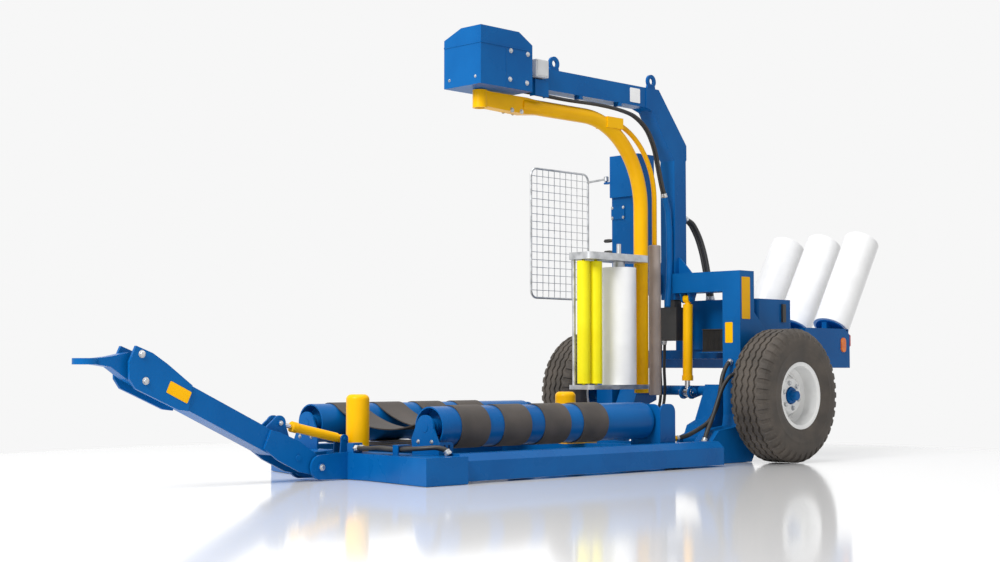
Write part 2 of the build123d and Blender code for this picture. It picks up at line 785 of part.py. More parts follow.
for (x, y), word in zip(roller_spots, ("inner", "outer")):
    with BuildPart() as stretch_roller:
        with BuildSketch(Plane.XY.offset(base_plate_z + 28 + 8)):
            with Locations((x, y)):
                Circle(stretch_d / 2)
        extrude(amount=plate_top_z - base_plate_z - 28 - 16)
        fillet(stretch_roller.edges(), radius=4)
        with BuildSketch(Plane.XY.offset(base_plate_z + 6)):
            with Locations((x, y)):
                Circle(10)
        extrude(amount=plate_top_z - base_plate_z + 20)
    finish(stretch_roller, f"stretch_roller_{word}")

# Guide cones: round bale guides on upright pins at both ends of the table
guide_z = beam_height + 26
front_guide_x = front_back_x + 40
rear_guide_x = rear_beam_x + guide_offset
front_foot = (front_guide_x - 40, front_guide_x + 60, beam_height)
rear_foot = (rear_beam_x - 40, rear_guide_x + 36, rear_beam_height)
for x, foot, word in ((front_guide_x, front_foot, "front"), (rear_guide_x, rear_foot, "rear")):
    with BuildPart() as guide_pin:
        with Locations(((foot[0] + foot[1]) / 2, 0, foot[2] + 6)):
            Box(foot[1] - foot[0], 90, 12)
        with BuildSketch(Plane.XY.offset(foot[2] + 11)):
            with Locations((x, 0)):
                Circle(30)
        extrude(amount=guide_z - foot[2] - 11 - seat_gap)
        with BuildSketch(Plane.XY.offset(foot[2] + 11)):
            with Locations((x, 0)):
                Circle(guide_pin_d / 2)
        extrude(amount=200)
    finish(guide_pin, f"guide_pin_{word}")
    with BuildPart() as guide:
        with BuildSketch(Plane.XY.offset(guide_z)):
            with Locations((x, 0)):
                Circle(guide_d / 2)
        extrude(amount=guide_height)
        fillet(guide.edges().group_by(Axis.Z)[-1], radius=guide_crown)
        with BuildSketch(Plane.XY.offset(guide_z - 1)):
            with Locations((x, 0)):
                Circle(guide_pin_d / 2 + running_gap)
        extrude(amount=216, mode=Mode.SUBTRACT)
    finish(guide, f"guide_cone_{word}")

# Drawbar: fork on the pivot, square tube, hitch head and towing eye
slope = math.radians(drawbar_slope)
ear = (at(drawbar_ear_station), drawbar_ear_z)
ram_base = (ram_x, ram_base_z)
eye_x = at(eye_station)


def along(station, offset):
    """Point on the drawbar's middle line, offset square to it."""
    run = station - drawbar_pivot_station
    x = draw_x + run - offset * math.sin(slope)
    z = drawbar_pivot_z + run * math.tan(slope) + offset * math.cos(slope)
    return (x, z)


half_tube = drawbar_tube / 2
cheek_y = half_tube + 7
with BuildPart() as drawbar:
    with BuildSketch(side_plane(0)):
        with BuildLine():
            Polyline(along(drawbar_fork_station - 60, -half_tube), along(drawbar_head_station, -half_tube),
                     along(drawbar_head_station, half_tube), along(drawbar_fork_station - 60, half_tube), close=True)
        make_face()
    extrude(amount=half_tube, both=True)
    for y in (-cheek_y, cheek_y):
        with BuildSketch(side_plane(y)):
            with BuildLine():
                Polyline(along(drawbar_pivot_station, 52), along(3330, 74), along(3450, 66),
                         along(drawbar_fork_station, half_tube - 4), along(drawbar_fork_station, 8 - half_tube),
                         along(3400, -70), along(3260, -70), along(drawbar_pivot_station + 20, -50), close=True)
            make_face()
            with Locations((draw_x, drawbar_pivot_z)):
                Circle(54)
                Circle(20 + running_gap, mode=Mode.SUBTRACT)
        extrude(amount=8, both=True)
    for y in (-26, 26):
        with BuildSketch(side_plane(y)):
            with BuildLine():
                Polyline(along(3330, 40), (ear[0] - 40, ear[1] - 12), (ear[0] + 36, ear[1] + 20),
                         along(3520, 40), close=True)
            make_face()
            with Locations(ear):
                Circle(40)
        extrude(amount=6, both=True)
    with BuildSketch(side_plane(0)):
        with BuildLine():
            Polyline(along(3360, 30), along(3360, 52), along(3480, 52), along(3480, 30), close=True)
        make_face()
    extrude(amount=cheek_y, both=True)
    with BuildSketch(side_plane(0)):
        with Locations(ear):
            Circle(11)
    extrude(amount=44, both=True)
    with BuildSketch(side_plane(0)):
        with Locations(along(3300, -8)):
            Circle(16)
    extrude(amount=cheek_y + 14, both=True)
finish(drawbar, "drawbar")

head_y = half_tube + 9
head_end = drawbar_head_station - 60
with BuildPart() as hitch_head:
    for y in (-head_y, head_y):
        with BuildSketch(side_plane(y)):
            with BuildLine():
                Polyline(along(3960, -66), along(4010, -84), along(4250, -92), along(4296, -64),
                         along(4330, 10), along(4330, 96), along(4240, 104), along(4150, 92), along(3990, 58),
                         close=True)
            make_face()
        extrude(amount=9 - seat_gap, both=True)
finish(hitch_head, "hitch_head")

with BuildPart() as towing_eye:
    with BuildSketch(side_plane(0)):
        with BuildLine():
            Polyline(along(4180, -60), along(4290, -60), (eye_x - 120, eye_z - 26),
                     (eye_x - 40, eye_z - eye_thickness / 2), (eye_x - 40, eye_z + eye_thickness / 2),
                     (eye_x - 120, eye_z + 24), along(4330, 60), along(4180, 60), close=True)
        make_face()
    extrude(amount=34, both=True)
    with BuildSketch(Plane.XY.offset(eye_z - eye_thickness / 2)):
        with Locations((eye_x, 0)):
            Circle(eye_ring_r)
    extrude(amount=eye_thickness)
    with BuildSketch(Plane.XY.offset(eye_z - 60)):
        with Locations((eye_x, 0)):
            Circle(eye_bore_d / 2)
    extrude(amount=120, mode=Mode.SUBTRACT)
    for spot in (along(4240, 42), along(4220, -42)):
        with BuildSketch(side_plane(0)):
            with Locations(spot):
                Circle(15)
        extrude(amount=head_y - 9, both=True)
finish(towing_eye, "towing_eye")

# Drawbar ram between the front beam and the drawbar's ear
ram_run = math.hypot(ear[0] - ram_base[0], ear[1] - ram_base[1])
ram_plane = Plane(origin=(ram_base[0], 0, ram_base[1]), x_dir=(0, 1, 0),
                  z_dir=(ear[0] - ram_base[0], 0, ear[1] - ram_base[1]))
with BuildPart() as ram_barrel:
    with BuildSketch(ram_plane.offset(12)):
        Circle(16)
    extrude(amount=24)
    with BuildSketch(ram_plane.offset(34)):
        Circle(ram_barrel_d / 2)
    extrude(amount=ram_run - 140)
    with BuildSketch(ram_plane.offset(ram_run - 136)):
        Circle(ram_barrel_d / 2 + 4)
    extrude(amount=34)
    with BuildSketch(side_plane(0)):
        with Locations(ram_base):
            Circle(22)
    extrude(amount=18, both=True)
    with BuildSketch(side_plane(0)):
        with Locations(ram_base):
            Circle(10 + running_gap)
    extrude(amount=38, both=True, mode=Mode.SUBTRACT)
    with BuildSketch(ram_plane.offset(50)):
        Circle(ram_rod_d / 2 + running_gap)
    extrude(amount=ram_run, mode=Mode.SUBTRACT)
finish(ram_barrel, "ram_barrel")

with BuildPart() as ram_rod:
    with BuildSketch(ram_plane.offset(60)):
        Circle(ram_rod_d / 2)
    extrude(amount=ram_run - 60 - 18)
    with BuildSketch(side_plane(0)):
        with Locations(ear):
            Circle(24)
    extrude(amount=18, both=True)
    with BuildSketch(side_plane(0)):
        with Locations(ear):
            Circle(11 + ram_eye_gap)
    extrude(amount=38, both=True, mode=Mode.SUBTRACT)
finish(ram_rod, "ram_rod")

# Chassis rails, spare roll rack and rolls
rack_rear = at(rack_rear_station)
rack_front = at(rack_front_station)
rail_y = post_inner + rail_width / 2
rail_outer = post_inner + rail_width
for side, word in ((1, "left"), (-1, "right")):
    with BuildPart() as rail:
        with Locations(((rack_rear + post_back) / 2, side * rail_y, rail_bottom + rail_height / 2)):
            Box(post_back - rack_rear, rail_width, rail_height)
    finish(rail, f"chassis_rail_{word}")

foot_x = at(roll_foot_station)
roll_axis = (-math.sin(lean), 0, math.cos(lean))
with BuildPart() as rack:
    for side in (1, -1):
        with Locations(((rack_rear + rack_front) / 2, side * (rail_outer + sheet / 2), (rail_bottom + rack_top) / 2)):
            Box(rack_front - rack_rear, sheet, rack_top - rail_bottom)
    with Locations(((rack_rear + rack_front) / 2, 0, rack_top - sheet / 2)):
        Box(rack_front - rack_rear, 2 * rail_outer, sheet)
    for x in (rack_rear + sheet / 2, rack_front - sheet / 2):
        with Locations((x, 0, rack_top - 75)):
            Box(sheet, 2 * rail_outer, 150)
    for side in (1, -1):
        with BuildSketch(side_plane(side * (rail_outer + sheet / 2))):
            with BuildLine():
                Polyline((rack_rear - 1, rack_top - 40), (rack_rear + 60, rack_top + 1), (rack_rear - 1, rack_top + 1),
                         close=True)
            make_face()
        extrude(amount=sheet, both=True, mode=Mode.SUBTRACT)
    for i in range(roll_count):
        y = roll_left_y - i * roll_pitch
        seat = Plane(origin=(foot_x, y, roll_foot_z), x_dir=(0, 1, 0), z_dir=roll_axis)
        with BuildSketch(seat.offset(-8)):
            Circle(roll_d / 2 - 20)
        extrude(amount=8 - seat_gap)
        with BuildSketch(seat.offset(-1)):
            Circle(core_d / 2 - 4)
        extrude(amount=260)
        with BuildSketch(side_plane(y)):
            with BuildLine():
                Polyline((foot_x + 10, rack_top - 3), (foot_x + 10, roll_foot_z - 7 + 10 * math.tan(lean)),
                         (foot_x + 82, roll_foot_z - 7 + 82 * math.tan(lean)), (foot_x + 82, rack_top - 3),
                         close=True)
            make_face()
        extrude(amount=20, both=True)
finish(rack, "rack")

with BuildPart() as spare_rolls:
    for i in range(roll_count):
        y = roll_left_y - i * roll_pitch
        seat = Plane(origin=(foot_x, y, roll_foot_z), x_dir=(0, 1, 0), z_dir=roll_axis)
        with BuildSketch(seat):
            Circle(roll_d / 2)
            Circle(core_d / 2, mode=Mode.SUBTRACT)
        extrude(amount=film_length)
finish(spare_rolls, "spare_rolls")

# Oil tank on bearers, oil cooler, valve block and cabinet
rail_top = rail_bottom + rail_height
with BuildPart() as tank_bearers:
    for x in (at(-120), at(-420)):
        with Locations((x, 0, rail_top - 30)):
            Box(40, 2 * post_inner, 60)
finish(tank_bearers, "tank_bearers")

with BuildPart() as oil_tank:
    with Locations((at(-270), 245, (rail_top + tank_top) / 2)):
        Box(380, 610, tank_top - rail_top)
    fillet(oil_tank.edges().filter_by(Axis.Z), radius=20)
finish(oil_tank, "oil_tank")

with BuildPart() as oil_cooler:
    with Locations((at(0), 322, 778)):
        Box(120, 228, 150)
finish(oil_cooler, "oil_cooler")

with BuildPart() as cooler_tray:
    with Locations((at(10), 334, 700)):
        Box(160, 272, 6)
finish(cooler_tray, "cooler_tray")

with BuildPart() as valve_block:
    with Locations((at(90), -30, 890)):
        Box(110, 170, 220)
    with Locations((portal_x - 15, -10, 1024)):
        Box(70, 90, 52)
finish(valve_block, "valve_block")

with BuildPart() as cabinet:
    with Locations((at(-20), cabinet_y, (portal_top + cabinet_top) / 2)):
        Box(150, cabinet_width, cabinet_top - portal_top)
    with Locations((at(66), cabinet_y, 1925)):
        Box(24, cabinet_width, 290)
    for z in (1250, 1900):
        with Locations((at(-20), (cabinet_y - cabinet_width / 2 - 684) / 2, z)):
            Box(40, 684 + cabinet_y - cabinet_width / 2 + 4, 12)
        with BuildSketch(Plane.XY.offset(z)):
            with Locations((at(-20), -700)):
                Circle(18)
        extrude(amount=6, both=True)
        with BuildSketch(Plane.XY.offset(z)):
            with Locations((at(-20), -700)):
                Circle(8)
        extrude(amount=50)
finish(cabinet, "cabinet")

# Guard grille: wire mesh in a bent tube frame, hinged on the cabinet
grille_front = at(508)
grille_back = grille_front - grille_length
grille_mid = (grille_front + grille_back) / 2
with BuildPart() as grille:
    with BuildLine() as frame_line:
        FilletPolyline((grille_back, grille_y, grille_bottom), (grille_front, grille_y, grille_bottom),
                       (grille_front, grille_y, grille_top), (grille_back, grille_y, grille_top), radius=50, close=True)
    with BuildSketch(Plane(origin=(grille_mid, grille_y, grille_bottom), z_dir=(1, 0, 0))):
        Circle(8)
    sweep()
    with BuildSketch(Plane.XY.offset(grille_bottom)):
        with Locations((grille_mid, grille_y)):
            with GridLocations(grille_length / 10, 1, 9, 1):
                Rectangle(wire_d, wire_d)
    extrude(amount=grille_top - grille_bottom)
    with BuildSketch(cross_plane(grille_back)):
        with Locations((grille_y + wire_d - 1, (grille_bottom + grille_top) / 2)):
            with GridLocations(1, (grille_top - grille_bottom) / 17, 1, 16):
                Rectangle(wire_d, wire_d)
    extrude(amount=grille_length)
finish(grille, "guard_grille")

reach = Vector(grille_back - at(-20), grille_y + 700, 0)
with BuildPart() as grille_hinge:
    for z in (1281, 1931):
        with BuildSketch(Plane(origin=(at(-20), -700, z), z_dir=reach)):
            Circle(8)
        extrude(amount=reach.length - 8 - seat_gap)
        with BuildSketch(Plane.XY.offset(z)):
            with Locations((at(-20), -700)):
                Circle(18)
        extrude(amount=16, both=True)
        with BuildSketch(Plane.XY.offset(z)):
            with Locations((at(-20), -700)):
                Circle(8 + running_gap)
        extrude(amount=30, both=True, mode=Mode.SUBTRACT)
finish(grille_hinge, "grille_hinge")

# Hose conduit: bent tube on tabs in front of the mast
conduit_y = 35
conduit = ((236, 1725), (200, 1635), (188, 1500), (187, 1300), (197, 1130), (213, 1000))
with BuildPart() as hose_conduit:
    with BuildLine() as conduit_line:
        FilletPolyline(*[(at(x), conduit_y, z) for x, z in conduit], radius=70)
    with BuildSketch(Plane(origin=conduit_line.line @ 0, z_dir=conduit_line.line % 0)):
        Circle(21)
    sweep()
    for x, z in ((188, 1520), (187, 1240)):
        with Locations(((mast_front + at(x)) / 2 + seat_gap / 2, conduit_y, z)):
            Box(at(x) - mast_front - seat_gap, 18, 40)
finish(hose_conduit, "hose_conduit")

# Hoses held between their glands; each route is (station, left, height), runs of at most 15 diameters
boom_route = ((1622.7, 2268), (1430, 2266), (1180, 2260), (930, 2268), (710, 2262), (540, 2238), (415, 2165), (340, 2050),
              (300, 1915), (264, 1795), (236.2, 1725.4))
front_upper = ((2970, 137.3, 166), (2970, 215, 166), (2963, 310, 173), (2970, 420, 166), (2962, 530, 172),
               (2935, 618, 178), (2892, 682, 184), (2856, 712, 172), (2842, 724, 148))
front_lower = ((2936, 137.3, 166), (2936, 215, 166), (2929, 310, 173), (2936, 420, 166), (2928, 530, 172),
               (2900, 606, 178), (2860, 660, 184), (2826, 690, 172), (2812, 702, 148))
rear_upper = ((197, 540, 640), (240, 540, 618), (285, 538, 550), (305, 536, 450), (335, 534, 352), (415, 538, 262),
              (540, 540, 212), (660, 543, 176), (763, 540, 164))
rear_lower = ((193.5, 578, 560), (262, 577, 545), (330, 573, 480), (382, 570, 380), (432, 568, 280), (488, 566, 195),
              (512, 565, 135.6))
mast_route = ((32.3, 10, 1600), (-20, 38, 1572), (-70, 58, 1482), (-95, 80, 1370), (-104, 100, 1250), (-110, 116, 1140),
              (-114, 124, 1052))
valve_route = ((126, -60, 779.4), (127, -62, 690), (138, -57, 590), (134, -52, 480), (148, -48, 370), (195, -46, 275),
               (268, -44, 208), (350, -42, 172), (408, -43, 158), (428, -44, 125.6))


def shifted(route, dx, dy, dz):
    return [(x + dx, y + dy, z + dz) for x, y, z in route]


hose_sets = (
    ("boom", hose_d - 2, ([(x, 25, z) for x, z in boom_route], [(x, 45, z) for x, z in boom_route])),
    ("front", hose_d + 4, (front_upper, front_lower)),
    ("rear", hose_d + 8, (rear_upper, rear_lower)),
    ("mast", hose_d + 6, (mast_route, shifted(mast_route, 0, 32, 0))),
    ("valve", hose_d, (valve_route, shifted(valve_route, 0, -34, 0))),
)
tube_volume = 0
with BuildPart() as hoses:
    for name, d, routes in hose_sets:
        for route in routes:
            points = [Vector(at(x), y, z) for x, y, z in route]
            runs = [(b - a).length for a, b in zip(points, points[1:])]
            turns = [(b - a).get_angle(c - b) for a, b, c in zip(points, points[1:], points[2:])]
            radii = [0.45 * min(pair) / math.tan(math.radians(turn / 2)) for pair, turn in zip(zip(runs, runs[1:]), turns)]
            with BuildLine() as hose_line:
                FilletPolyline(*points, radius=radii)
            with BuildSketch(Plane(origin=hose_line.line @ 0, z_dir=hose_line.line % 0)):
                Circle(d / 2)
            sweep()
            length = sum(edge.length for edge in hose_line.edges())
            tube_volume += math.pi * d * d / 4 * length
            print(name, "hose, length", round(length), "smallest radius", round(min(radii)), "runs", [round(r) for r in runs])
print("hose volume over section times length", round(hoses.part.volume / tube_volume, 4), "solids", len(hoses.solids()))
finish(hoses, "hoses")

# Hose coupling on the portal sill
coupling_x = at(765) + seat_gap
with BuildPart() as hose_coupling:
    with BuildSketch(Plane(origin=(coupling_x, 540, 164), x_dir=(0, 1, 0), z_dir=(1, 0, 0))):
        RegularPolygon(20, 6)
    extrude(amount=26)
    with BuildSketch(Plane(origin=(coupling_x + 25, 540, 164), x_dir=(0, 1, 0), z_dir=(1, 0, 0))):
        Circle(15)
    extrude(amount=26)
    with Locations((coupling_x + 34, 540, (rear_beam_height + 164) / 2 + seat_gap / 2)):
        Box(14, 30, 164 - rear_beam_height - seat_gap)
finish(hose_coupling, "hose_coupling")

# Lamps: side reflectors on the rack's panels and tail lamps on its rear
panel_y = rail_outer + sheet + seat_gap
with BuildPart() as side_reflectors:
    for side in (1, -1):
        with BuildSketch(side_plane(side * (panel_y + 5))):
            with Locations((at(-1061), 758)):
                SlotOverall(100, 52, rotation=90)
        extrude(amount=5, both=True)
finish(side_reflectors, "side_reflectors")

with BuildPart() as tail_lamps:
    for side in (1, -1):
        with Locations((rack_rear - seat_gap - 18, side * 470, 790)):
            Box(36, 150, 84)
    fillet(tail_lamps.edges().filter_by(Axis.X), radius=10)
    chamfer(tail_lamps.faces().group_by(Axis.X)[0].edges(), 6)
finish(tail_lamps, "tail_lamps")

# Tank filler cap and level gauge
with BuildPart() as tank_fittings:
    with BuildSketch(Plane.XY.offset(tank_top + seat_gap)):
        with Locations((at(-140), 430)):
            Circle(34)
    extrude(amount=14)
    with BuildSketch(Plane.XY.offset(tank_top + 13)):
        with Locations((at(-140), 430)):
            RegularPolygon(28, 8)
    extrude(amount=30)
    with Locations((at(-360), 550 + seat_gap + 7, 960)):
        Box(36, 14, 120)
finish(tank_fittings, "tank_fittings")
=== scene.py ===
# %% [markdown]
# # A towed round bale wrapper, dressed in Blender
# The machine arrives as a finished CAD frame. Every plate, tube and roller
# already has its true size, so this script only gives the pieces their
# finish and adds the small forms that CAD leaves out. Places are given by
# their distance forward of the wheel axle, as in the CAD model, and one
# helper turns them into the frame's metres.

# %% Load the frame
import math
import json
import bpy
import bmesh
from mathutils import Matrix, Vector

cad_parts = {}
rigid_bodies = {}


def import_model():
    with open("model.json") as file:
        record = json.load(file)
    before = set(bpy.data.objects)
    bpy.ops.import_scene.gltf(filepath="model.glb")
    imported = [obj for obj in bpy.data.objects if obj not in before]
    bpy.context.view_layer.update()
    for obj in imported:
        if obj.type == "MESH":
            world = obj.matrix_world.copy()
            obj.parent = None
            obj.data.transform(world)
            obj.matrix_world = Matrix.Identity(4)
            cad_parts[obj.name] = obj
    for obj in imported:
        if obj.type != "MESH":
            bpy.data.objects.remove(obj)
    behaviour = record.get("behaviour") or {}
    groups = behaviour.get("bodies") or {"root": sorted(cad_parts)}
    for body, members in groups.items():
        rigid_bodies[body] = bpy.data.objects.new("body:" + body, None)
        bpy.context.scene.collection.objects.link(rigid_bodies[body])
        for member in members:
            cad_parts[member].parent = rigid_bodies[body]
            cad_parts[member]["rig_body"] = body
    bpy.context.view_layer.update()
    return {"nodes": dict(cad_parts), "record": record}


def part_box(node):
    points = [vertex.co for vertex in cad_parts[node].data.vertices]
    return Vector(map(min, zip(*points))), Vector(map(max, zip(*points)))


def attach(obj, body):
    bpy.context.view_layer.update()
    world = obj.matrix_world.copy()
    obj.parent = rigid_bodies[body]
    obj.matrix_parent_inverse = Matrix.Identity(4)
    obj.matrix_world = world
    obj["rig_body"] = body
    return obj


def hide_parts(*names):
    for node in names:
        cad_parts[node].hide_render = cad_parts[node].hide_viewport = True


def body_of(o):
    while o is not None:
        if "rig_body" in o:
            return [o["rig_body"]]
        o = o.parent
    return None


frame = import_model()
nodes = frame["nodes"]
tyre_low, tyre_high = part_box("tyre_left")
MIDDLE = -(tyre_low.x + tyre_high.x) / 2


def st(station, y, z):
    """A point given by its distance forward of the wheel axle, in metres."""
    return Vector((station - MIDDLE, y, z))


# %% [markdown]
# ## Materials
# Farm machinery wears thick gloss paint over steel. A real painted surface
# is never one flat colour: it has a faint waviness, dust in patches and
# a duller sheen where hands and straw rub it. One helper builds that from
# two noises, and each finish is a call with its own colour and grain.

# %% Shader helper
def new_material(name):
    made = bpy.data.materials.new(name)
    made.use_nodes = True
    return made, made.node_tree, made.node_tree.nodes["Principled BSDF"]


def object_noise(tree, scale, detail=3.0, stretch=(1, 1, 1)):
    coords = tree.nodes.new("ShaderNodeTexCoord")
    mapping = tree.nodes.new("ShaderNodeMapping")
    mapping.inputs["Scale"].default_value = stretch
    noise = tree.nodes.new("ShaderNodeTexNoise")
    noise.inputs["Scale"].default_value = scale
    noise.inputs["Detail"].default_value = detail
    tree.links.new(coords.outputs["Object"], mapping.inputs["Vector"])
    tree.links.new(mapping.outputs["Vector"], noise.inputs["Vector"])
    return noise


def ramp_between(tree, factor, low, high, start=0.35, end=0.65):
    ramp = tree.nodes.new("ShaderNodeValToRGB")
    ramp.color_ramp.elements[0].position = start
    ramp.color_ramp.elements[0].color = low
    ramp.color_ramp.elements[1].position = end
    ramp.color_ramp.elements[1].color = high
    tree.links.new(factor, ramp.inputs["Fac"])
    return ramp.outputs["Color"]


def spread_value(tree, factor, low, high):
    mapped = tree.nodes.new("ShaderNodeMapRange")
    mapped.inputs["From Min"].default_value = 0.3
    mapped.inputs["From Max"].default_value = 0.7
    mapped.inputs["To Min"].default_value = low
    mapped.inputs["To Max"].default_value = high
    tree.links.new(factor, mapped.inputs["Value"])
    return mapped.outputs["Result"]


def bump_from(tree, shader, height, strength, distance, rounding=0.0):
    bump = tree.nodes.new("ShaderNodeBump")
    bump.inputs["Strength"].default_value = strength
    bump.inputs["Distance"].default_value = distance
    tree.links.new(height, bump.inputs["Height"])
    if rounding:
        edge = tree.nodes.new("ShaderNodeBevel")
        edge.samples = 4
        edge.inputs["Radius"].default_value = rounding
        tree.links.new(edge.outputs["Normal"], bump.inputs["Normal"])
    tree.links.new(bump.outputs["Normal"], shader.inputs["Normal"])


def surface(name, dark, light, rough=(0.3, 0.45), patch=4.0, grain=60.0, bump=0.15,
            depth=0.0006, metal=0.0, coat=0.0, rounding=0.0, stretch=(1, 1, 1), gloss=0.5):
    """A finish whose colour and sheen drift over patches, with a fine relief."""
    made, tree, shader = new_material(name)
    patches = object_noise(tree, patch, 5.0)
    fine = object_noise(tree, grain, 4.0, stretch)
    colour = ramp_between(tree, patches.outputs["Fac"], (*dark, 1), (*light, 1))
    tree.links.new(colour, shader.inputs["Base Color"])
    tree.links.new(spread_value(tree, patches.outputs["Fac"], *rough), shader.inputs["Roughness"])
    shader.inputs["Metallic"].default_value = metal
    shader.inputs["Specular IOR Level"].default_value = gloss
    shader.inputs["Coat Weight"].default_value = coat
    shader.inputs["Coat Roughness"].default_value = 0.12
    bump_from(tree, shader, fine.outputs["Fac"], bump, depth, rounding)
    return made


# %% [markdown]
# ## The finishes
# The machine carries two paints, blue and yellow, on nearly everything. The
# rest is plastic, film, rubber, foam and bare or plated steel. A paint gets
# little gloss here, since a white studio would wash its colour out, and a
# bevelled normal rounds its sharp plate edges a little, as thick paint does.

# %% Finishes of the machine
BLUE = surface("MachineBlue", (0.001, 0.092, 0.31), (0.003, 0.118, 0.37), rough=(0.22, 0.36),
               patch=2.5, grain=140, bump=0.12, depth=0.0004, rounding=0.0025, gloss=0.12)
YELLOW = surface("MachineYellow", (0.88, 0.43, 0.0005), (0.97, 0.52, 0.001), rough=(0.26, 0.4),
                 patch=3, grain=150, bump=0.12, depth=0.0004, rounding=0.002, gloss=0.15)
LEMON = surface("LemonRollerPlastic", (0.93, 0.80, 0.004), (0.98, 0.90, 0.012), rough=(0.35, 0.5),
                grain=90, bump=0.1, rounding=0.002, gloss=0.25)
SILVER = surface("RimSilverPaint", (0.78, 0.78, 0.77), (0.90, 0.90, 0.88), rough=(0.32, 0.48),
                 coat=0.2, grain=120, bump=0.15, rounding=0.002)
ZINC = surface("ZincPlate", (0.42, 0.43, 0.44), (0.62, 0.63, 0.64), rough=(0.3, 0.5), metal=0.9,
               patch=18, grain=40, bump=0.1, rounding=0.0015)
CHROME = surface("ChromedRod", (0.62, 0.63, 0.65), (0.72, 0.73, 0.75), rough=(0.08, 0.16),
                 metal=1.0, grain=200, bump=0.05, rounding=0.001)
FILM = surface("WhiteFilm", (0.90, 0.90, 0.90), (0.96, 0.96, 0.96), rough=(0.28, 0.42), coat=0.3, patch=6,
               grain=14, bump=0.35, depth=0.002, stretch=(1, 1, 9))
BELT = surface("BeltRubber", (0.045, 0.038, 0.034), (0.085, 0.072, 0.064), rough=(0.65, 0.85), patch=5,
               grain=260, bump=0.5, depth=0.0012)
TYRE = surface("TyreRubber", (0.046, 0.038, 0.031), (0.095, 0.079, 0.065), rough=(0.6, 0.82), patch=7,
               grain=220, bump=0.35, depth=0.0008)
FOAM = surface("GreyFoamSleeve", (0.33, 0.275, 0.245), (0.42, 0.355, 0.32), rough=(0.7, 0.9), patch=6,
               grain=320, bump=0.4, depth=0.0008)
BLACK = surface("BlackMachineParts", (0.018, 0.017, 0.016), (0.04, 0.037, 0.034), rough=(0.4, 0.6),
                grain=120, bump=0.2, rounding=0.0015)
HOSE = surface("HoseRubber", (0.012, 0.012, 0.012), (0.03, 0.029, 0.028), rough=(0.4, 0.55),
               grain=180, bump=0.25)
GREY = surface("GreyBox", (0.55, 0.56, 0.57), (0.68, 0.69, 0.7), rough=(0.4, 0.55), grain=90)
ORANGE = surface("OrangeReflector", (0.75, 0.14, 0.01), (0.9, 0.22, 0.02), rough=(0.15, 0.3),
                 patch=30, grain=300, bump=0.5, depth=0.001)
RED = surface("RedReflector", (0.45, 0.01, 0.01), (0.6, 0.02, 0.02), rough=(0.15, 0.3),
              patch=30, grain=300, bump=0.5, depth=0.001)
SLOT_FINISH = {
    "paint_blue": BLUE, "paint_yellow": YELLOW, "plastic_lemon": LEMON, "film_white": FILM,
    "belt_rubber": BELT, "tyre_rubber": TYRE, "rim_silver": SILVER, "bright_steel": CHROME,
    "zinc_plate": ZINC, "padding_grey": FOAM, "black_parts": BLACK, "hose_rubber": HOSE,
    "reflector_orange": ORANGE, "lamp_red": RED,
}
for row in frame["record"]["subparts"]:
    node = nodes[row["node"]]
    node.data.materials.clear()
    node.data.materials.append(SLOT_FINISH[row["material_slot"]])
print("nodes finished", len(nodes))

# %% [markdown]
# ## Small forms: three builders
# Most small parts on a machine are either turned (nuts, ferrules, knobs),
# cut from plate, or blocks with broken edges. Three short builders make
# them all. Each adds into one open mesh, so a family of parts that rides
# on one body becomes one object.

# %% Builders
def body(node):
    return body_of(nodes[node])[0]


def publish(name, built, finish, rides, smooth=False):
    """Turn the open mesh into an object that rides on a CAD body."""
    bmesh.ops.recalc_face_normals(built, faces=built.faces)
    mesh = bpy.data.meshes.new(name)
    built.to_mesh(mesh)
    built.free()
    for face in mesh.polygons:
        face.use_smooth = smooth
    mesh.materials.append(finish)
    made = bpy.data.objects.new(name, mesh)
    bpy.context.scene.collection.objects.link(made)
    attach(made, rides)
    print(name, "faces", len(mesh.polygons))
    return made


def lathe(built, profile, origin, direction, steps=24):
    """A closed turned part: profile is a list of radius and height along the direction."""
    place = Matrix.Translation(origin) @ Vector(direction).to_track_quat("Z", "Y").to_matrix().to_4x4()
    rings = []
    for radius, height in profile:
        ring = []
        for k in range(steps):
            angle = 2 * math.pi * k / steps
            spot = Vector((radius * math.cos(angle), radius * math.sin(angle), height))
            ring.append(built.verts.new(place @ spot))
        rings.append(ring)
    for low, high in zip(rings, rings[1:]):
        for k in range(steps):
            built.faces.new((low[k], low[k - steps + 1], high[k - steps + 1], high[k]))
    built.faces.new(rings[0][::-1])
    built.faces.new(rings[-1])


def block(built, centre, size, edge=0.003, turn=Matrix()):
    """A block with rounded edges, turned about its own centre."""
    place = Matrix.Translation(centre) @ turn @ Matrix.Diagonal((*size, 1))
    corners = bmesh.ops.create_cube(built, size=1.0, matrix=place)["verts"]
    edges = list({e for v in corners for e in v.link_edges})
    bmesh.ops.bevel(built, geom=edges, offset=edge, segments=2, profile=0.7, affect="EDGES")


def sheet_plate(built, centre, across, upward, width, height, corner=0.006, thickness=0.0012):
    """A thin plate with round corners, standing off the surface behind it."""
    across = Vector(across).normalized()
    upward = Vector(upward).normalized()
    out = across.cross(upward)
    ring = []
    for k in range(4):
        sx = (1, -1, -1, 1)[k] * (width / 2 - corner)
        sy = (1, 1, -1, -1)[k] * (height / 2 - corner)
        for step in range(6):
            angle = math.pi / 2 * (k + step / 5)
            ring.append(Vector(centre) + across * (sx + corner * math.cos(angle))
                        + upward * (sy + corner * math.sin(angle)))
    low = [built.verts.new(p) for p in ring]
    high = [built.verts.new(p + out * thickness) for p in ring]
    built.faces.new(low[::-1])
    built.faces.new(high)
    for k in range(len(ring)):
        built.faces.new((low[k - 1], low[k], high[k], high[k - 1]))


